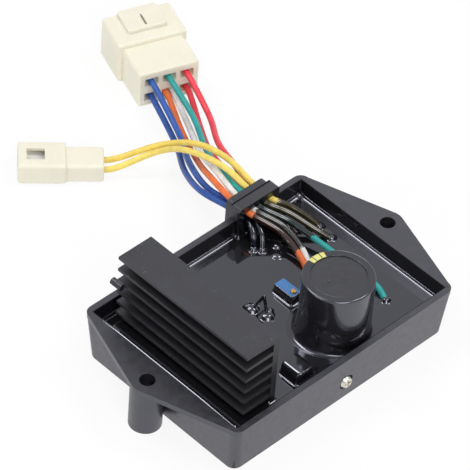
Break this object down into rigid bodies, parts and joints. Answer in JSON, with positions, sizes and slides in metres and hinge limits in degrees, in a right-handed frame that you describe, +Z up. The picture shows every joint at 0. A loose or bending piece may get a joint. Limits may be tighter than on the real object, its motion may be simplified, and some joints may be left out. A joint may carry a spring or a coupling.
{
  "type": "automatic voltage regulator",
  "caption": "Potted automatic voltage regulator for a generator: black tray with mounting ears, finned heat sink, capacitor, trimmer, and leads with plug connectors.",
  "frame": {"origin": "centre of the tray's underside, midway between the mounting holes", "axes": "+X from the heat sink's ear to the other ear, +Y towards the wall that the leads leave through, +Z up out of the tray"},
  "size_m": [0.1704, 0.2167, 0.0514],
  "materials": {
    "case_plastic": "satin black moulded plastic",
    "potting_compound": "glossy black cast resin",
    "black_anodised": "satin black anodised extrusion",
    "can_aluminium": "drawn",
    "top_film": "smooth black film",
    "sleeve_film": "glossy black heat-shrink film",
    "trimmer_plastic": "blue moulded plastic",
    "brass": "turned",
    "board_laminate": "green solder mask",
    "black_moulding": "black epoxy moulding",
    "coated_block": "resin-coated, glossy black",
    "coated_lead": "resin-coated, glossy black",
    "zinc_steel": "zinc plated",
    "nickel_steel": "nickel plated",
    "grommet_rubber": "black moulded rubber",
    "ivory_nylon": "ivory moulded nylon",
    "terminal_brass": "stamped",
    "terminal_tin": "tin plated",
    "wire_blue": "smooth insulation",
    "wire_orange": "smooth insulation",
    "wire_white": "smooth insulation",
    "wire_green": "smooth insulation",
    "wire_red": "smooth insulation",
    "wire_yellow": "smooth insulation"
  },
  "bodies": {
    "regulator": {"potting_case": "case_plastic", "potting_resin": "potting_compound", "heat_sink": "black_anodised", "capacitor_can": "can_aluminium", "capacitor_top_disc": "top_film", "capacitor_sleeve": "sleeve_film", "trimmer_body": "trimmer_plastic", "circuit_board": "board_laminate", "control_chip": "black_moulding", "block_capacitor": "coated_block", "jumper_lead": "coated_lead", "power_transistors": "black_moulding", "transistor_screws": "zinc_steel", "wall_screw": "nickel_steel", "wire_grommet": "grommet_rubber", "loom_housing": "ivory_nylon", "loom_terminals": "terminal_brass", "pair_housing": "ivory_nylon", "pair_terminals": "terminal_tin", "wire_blue_1": "wire_blue", "wire_blue_2": "wire_blue", "wire_orange": "wire_orange", "wire_white": "wire_white", "wire_green": "wire_green", "wire_red_1": "wire_red", "wire_red_2": "wire_red", "wire_yellow_1": "wire_yellow", "wire_yellow_2": "wire_yellow"},
    "adjuster": {"trimmer_screw": "brass"}
  },
  "joints": [
    {"name": "trimmer_turn", "type": "hinge", "parent": "regulator", "child": "adjuster", "pos_m": [0.0128, -0.00075, 0.0204], "axis": [0, 0, 1], "continuous": true}
  ]
}
